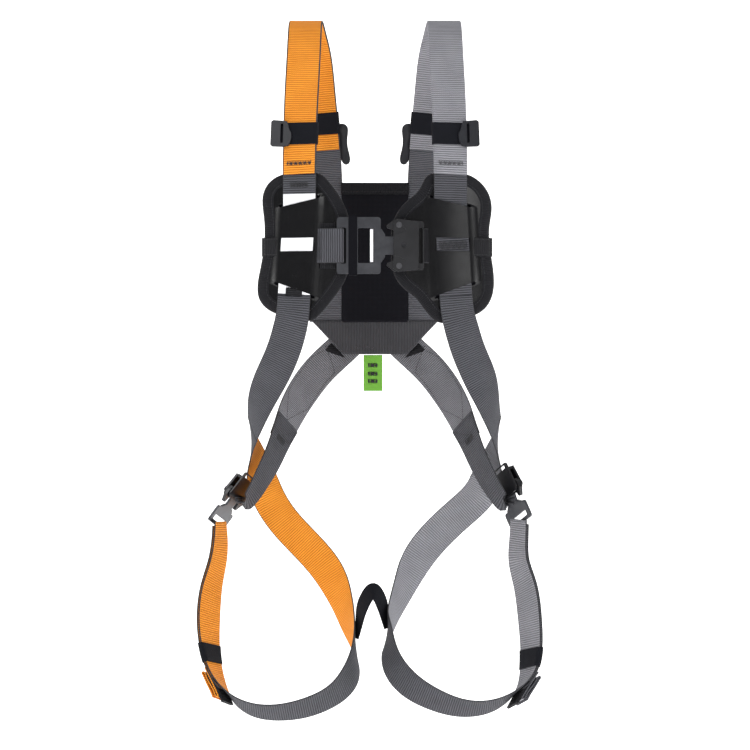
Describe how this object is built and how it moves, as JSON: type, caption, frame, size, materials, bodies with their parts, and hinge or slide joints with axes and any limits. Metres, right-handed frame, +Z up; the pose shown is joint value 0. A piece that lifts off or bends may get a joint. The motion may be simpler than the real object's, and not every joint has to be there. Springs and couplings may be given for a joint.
{
  "type": "full-body safety harness",
  "caption": "Full-body fall arrest harness with padded chest panels, quick-connect chest and leg buckles, leg loops and a dorsal ring.",
  "frame": {"origin": "pivot of the dorsal ring, in the middle of its straight bar", "axes": "+Z up the wearer's back, +Y away from the wearer's back, +X to the right when seen from the chest side"},
  "size_m": [0.4536, 0.2482, 0.9098],
  "materials": {
    "webbing_orange": "woven, matt",
    "webbing_light_grey": "woven, matt",
    "webbing_dark_grey": "woven, matt",
    "panel_sheet": "glossy",
    "panel_fabric": "matt",
    "binding": "ribbed, matt",
    "elastic": "ribbed, matt",
    "plastic_black": "satin",
    "metal_black": "glossy",
    "steel": "polished",
    "label_white": "smooth",
    "tag_green": "woven, matt"
  },
  "bodies": {
    "back": {"back_panel": "panel_fabric", "back_panel_binding": "binding", "rear_strap_left": "webbing_dark_grey", "rear_strap_right": "webbing_dark_grey", "lumbar_band": "webbing_dark_grey", "dorsal_yoke": "webbing_dark_grey", "dorsal_plate": "plastic_black", "dorsal_loop": "webbing_dark_grey", "seat_strap_left": "webbing_dark_grey", "seat_strap_right": "webbing_dark_grey", "shoulder_strap_left": "webbing_orange", "shoulder_strap_right": "webbing_light_grey", "side_strap_left": "webbing_orange", "side_strap_right": "webbing_light_grey", "hip_loop_left": "webbing_dark_grey", "hip_loop_right": "webbing_dark_grey", "hip_strap_left": "webbing_dark_grey", "hip_strap_right": "webbing_dark_grey"},
    "chest_left": {"chest_pad_left": "panel_fabric", "chest_rim_left": "binding", "chest_sheet_left": "panel_sheet", "chest_webbing_left": "webbing_dark_grey", "id_label_left": "label_white", "male_plate": "metal_black", "male_keeper_band": "elastic"},
    "chest_right": {"chest_pad_right": "panel_fabric", "chest_rim_right": "binding", "chest_sheet_right": "panel_sheet", "chest_webbing_right": "webbing_dark_grey", "female_base": "metal_black", "female_cover": "metal_black", "female_rivets": "steel", "latch_springs": "steel"},
    "lever_upper": {"release_lever_upper": "metal_black"},
    "lever_lower": {"release_lever_lower": "metal_black"},
    "ring": {"dorsal_ring": "steel"},
    "green_tag": {"tag": "tag_green"},
    "shoulder_keeper_left": {"front_keeper_left": "elastic", "front_clip_left": "plastic_black"},
    "back_keeper_left": {"rear_keeper_left": "elastic"},
    "leg_left": {"leg_strap_left": "webbing_orange", "leg_tail_left": "webbing_orange", "leg_male_plate_left": "metal_black", "leg_female_base_left": "metal_black", "leg_female_cover_left": "metal_black", "crotch_link": "elastic"},
    "thigh_keeper_left": {"leg_keeper_left": "elastic"},
    "leg_lever_body_near_left": {"leg_lever_near_left": "metal_black"},
    "leg_lever_body_far_left": {"leg_lever_far_left": "metal_black"},
    "shoulder_keeper_right": {"front_keeper_right": "elastic", "front_clip_right": "plastic_black"},
    "back_keeper_right": {"rear_keeper_right": "elastic"},
    "leg_right": {"leg_strap_right": "webbing_light_grey", "leg_tail_right": "webbing_light_grey", "leg_male_plate_right": "metal_black", "leg_female_base_right": "metal_black", "leg_female_cover_right": "metal_black"},
    "thigh_keeper_right": {"leg_keeper_right": "elastic"},
    "leg_lever_body_near_right": {"leg_lever_near_right": "metal_black"},
    "leg_lever_body_far_right": {"leg_lever_far_right": "metal_black"}
  },
  "joints": [
    {"name": "chest_open_left", "type": "hinge", "parent": "back", "child": "chest_left", "pos_m": [0.028, -0.025, -0.036], "axis": [0, 0, -1], "range_deg": [0, 25], "deforming": ["shoulder_strap_left", "side_strap_left", "latch_springs"]},
    {"name": "chest_open_right", "type": "hinge", "parent": "back", "child": "chest_right", "pos_m": [0.036, -0.025, -0.036], "axis": [0, 0, 1], "range_deg": [0, 25], "deforming": ["shoulder_strap_right", "side_strap_right", "latch_springs"]},
    {"name": "lever_turn_upper", "type": "hinge", "parent": "chest_right", "child": "lever_upper", "pos_m": [0.0305, -0.2308, -0.0101], "axis": [0, -1, 0], "range_deg": [0, 12], "stiffness_Nm_per_rad": 0.2, "springref_deg": -2.86},
    {"name": "lever_turn_lower", "type": "hinge", "parent": "chest_right", "child": "lever_lower", "pos_m": [0.0305, -0.2308, -0.0619], "axis": [0, 1, 0], "range_deg": [0, 12], "stiffness_Nm_per_rad": 0.2, "springref_deg": -2.86},
    {"name": "shoulder_keeper_slide_left", "type": "slide", "parent": "chest_left", "child": "shoulder_keeper_left", "axis": [0.0187, 0.1901, 0.9816], "range_m": [-0.008, 0.008]},
    {"name": "back_keeper_slide_left", "type": "slide", "parent": "back", "child": "back_keeper_left", "axis": [-0.0837, -0.2232, 0.9712], "range_m": [-0.008, 0.008]},
    {"name": "shoulder_keeper_slide_right", "type": "slide", "parent": "chest_right", "child": "shoulder_keeper_right", "axis": [-0.0187, 0.1901, 0.9816], "range_m": [-0.008, 0.008]},
    {"name": "back_keeper_slide_right", "type": "slide", "parent": "back", "child": "back_keeper_right", "axis": [0.0837, -0.2232, 0.9712], "range_m": [-0.008, 0.008]},
    {"name": "leg_swing_left", "type": "hinge", "parent": "back", "child": "leg_left", "pos_m": [0, -0.13506, -0.285], "axis": [1, 0, 0], "range_deg": [-12, 12], "deforming": ["hip_loop_left", "hip_strap_left"]},
    {"name": "leg_keeper_slide_left", "type": "slide", "parent": "leg_left", "child": "thigh_keeper_left", "axis": [-0.1991, 0.3359, 0.9206], "range_m": [-0.003, 0.003]},
    {"name": "leg_lever_turn_near_left", "type": "hinge", "parent": "leg_left", "child": "leg_lever_body_near_left", "pos_m": [-0.18706, -0.15029, -0.35178], "axis": [0.7756, -0.362, -0.5171], "range_deg": [0, 12], "stiffness_Nm_per_rad": 0.2, "springref_deg": -2.86},
    {"name": "leg_lever_turn_far_left", "type": "hinge", "parent": "leg_left", "child": "leg_lever_body_far_left", "pos_m": [-0.17465, -0.10228, -0.36678], "axis": [-0.7756, 0.362, 0.5171], "range_deg": [0, 12], "stiffness_Nm_per_rad": 0.2, "springref_deg": -2.86},
    {"name": "leg_swing_right", "type": "hinge", "parent": "back", "child": "leg_right", "pos_m": [0, -0.13506, -0.285], "axis": [1, 0, 0], "range_deg": [-12, 12], "deforming": ["hip_loop_right", "hip_strap_right"]},
    {"name": "leg_keeper_slide_right", "type": "slide", "parent": "leg_right", "child": "thigh_keeper_right", "axis": [0.1189, 0.3211, 0.9395], "range_m": [-0.003, 0.003]},
    {"name": "leg_lever_turn_near_right", "type": "hinge", "parent": "leg_right", "child": "leg_lever_body_near_right", "pos_m": [0.18279, -0.14507, -0.34249], "axis": [0.8493, 0.4756, 0.229], "range_deg": [0, 12], "stiffness_Nm_per_rad": 0.2, "springref_deg": -2.86},
    {"name": "leg_lever_turn_far_right", "type": "hinge", "parent": "leg_right", "child": "leg_lever_body_far_right", "pos_m": [0.16382, -0.10138, -0.36286], "axis": [-0.8493, -0.4756, -0.229], "range_deg": [0, 12], "stiffness_Nm_per_rad": 0.2, "springref_deg": -2.86},
    {"name": "ring_pivot", "type": "hinge", "parent": "back", "child": "ring", "pos_m": [0, 0, 0], "axis": [1, 0, 0], "range_deg": [-12, 150]},
    {"name": "tag_swing", "type": "hinge", "parent": "back", "child": "green_tag", "pos_m": [0, -0.03, -0.1715], "axis": [1, 0, 0], "range_deg": [-35, 35]}
  ],
  "couplings": [
    {"joint": "leg_swing_right", "follows": "leg_swing_left", "ratio": 1}
  ]
}
